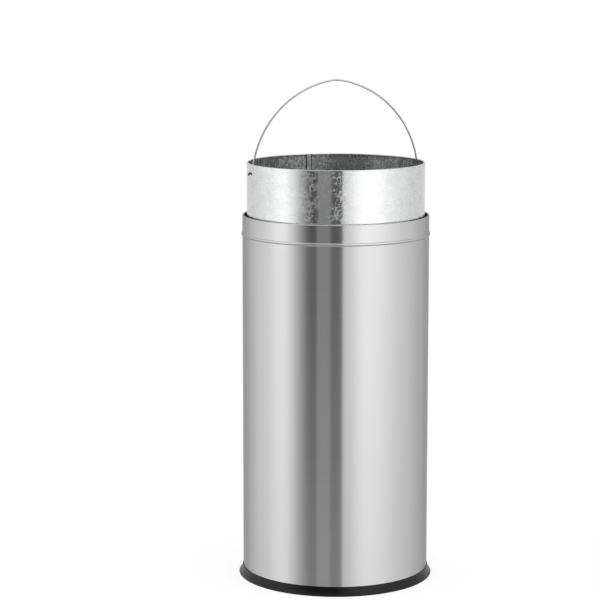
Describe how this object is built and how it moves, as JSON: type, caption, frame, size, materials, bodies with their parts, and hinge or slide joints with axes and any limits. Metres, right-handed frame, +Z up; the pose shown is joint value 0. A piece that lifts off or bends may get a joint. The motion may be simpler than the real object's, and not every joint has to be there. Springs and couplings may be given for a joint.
{
  "type": "waste bin",
  "caption": "Tall round waste bin: brushed steel casing on a flared black base ring, with a galvanised inner bucket that lifts out by a hinged wire bail.",
  "frame": {"origin": "middle of the underside of the base ring, on the axis of the casing", "axes": "+Z up along the casing's axis, X along the pivot line of the bail, +Y towards the lock seam of the bucket at the back"},
  "size_m": [0.3138, 0.3138, 0.8052],
  "materials": {
    "casing_steel": "stainless steel, brushed round the casing",
    "galvanised_steel": "hot-dip galvanised, with spangle",
    "base_plastic": "black, satin",
    "bail_wire": "zinc-plated drawn wire"
  },
  "bodies": {
    "casing": {"casing_shell": "casing_steel", "casing_floor": "galvanised_steel", "base_ring": "base_plastic"},
    "bucket": {"bucket_shell": "galvanised_steel", "bucket_floor": "galvanised_steel"},
    "bail": {"bail_handle": "bail_wire"}
  },
  "joints": [
    {"name": "bucket_lift", "type": "slide", "parent": "casing", "child": "bucket", "axis": [0, 0, 1], "range_m": [-0.0971, 0.495]},
    {"name": "bail_swing", "type": "hinge", "parent": "bucket", "child": "bail", "pos_m": [0, 0, 0.6592], "axis": [1, 0, 0], "range_deg": [-83, 83]}
  ]
}
